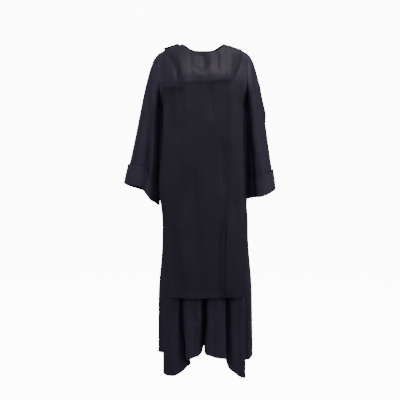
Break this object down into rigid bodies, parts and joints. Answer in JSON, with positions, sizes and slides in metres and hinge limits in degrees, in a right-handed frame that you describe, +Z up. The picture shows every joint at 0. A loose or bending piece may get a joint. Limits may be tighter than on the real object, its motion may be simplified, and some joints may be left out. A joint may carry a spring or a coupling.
{
  "type": "nun habit",
  "caption": "Long dark habit as worn: wide-sleeved tunic with turned-back cuffs under a straight scapular that laps on one shoulder, with a folded, uneven hem.",
  "frame": {"origin": "middle of the shoulder line at the neck, where the wearer carries the habit; all of it hangs below", "axes": "+Z up, the front faces -Y, +X is the wearer's left"},
  "size_m": [0.6688, 0.3202, 1.4421],
  "materials": {
    "tunic_cloth": "near-black satin-backed polyester with a faint violet cast",
    "scapular_cloth": "the same cloth, hanging flat",
    "cuff_cloth": "the same cloth, turned back",
    "binding_cloth": "black bias binding",
    "lap_cloth": "black folded edge"
  },
  "bodies": {
    "root": {"tunic_front": "tunic_cloth", "tunic_back": "tunic_cloth", "sleeve_left": "tunic_cloth", "sleeve_right": "tunic_cloth", "cuff_left": "cuff_cloth", "cuff_right": "cuff_cloth", "scapular_front": "scapular_cloth", "scapular_back": "scapular_cloth", "neck_binding": "binding_cloth", "shoulder_lap": "lap_cloth"}
  },
  "joints": []
}
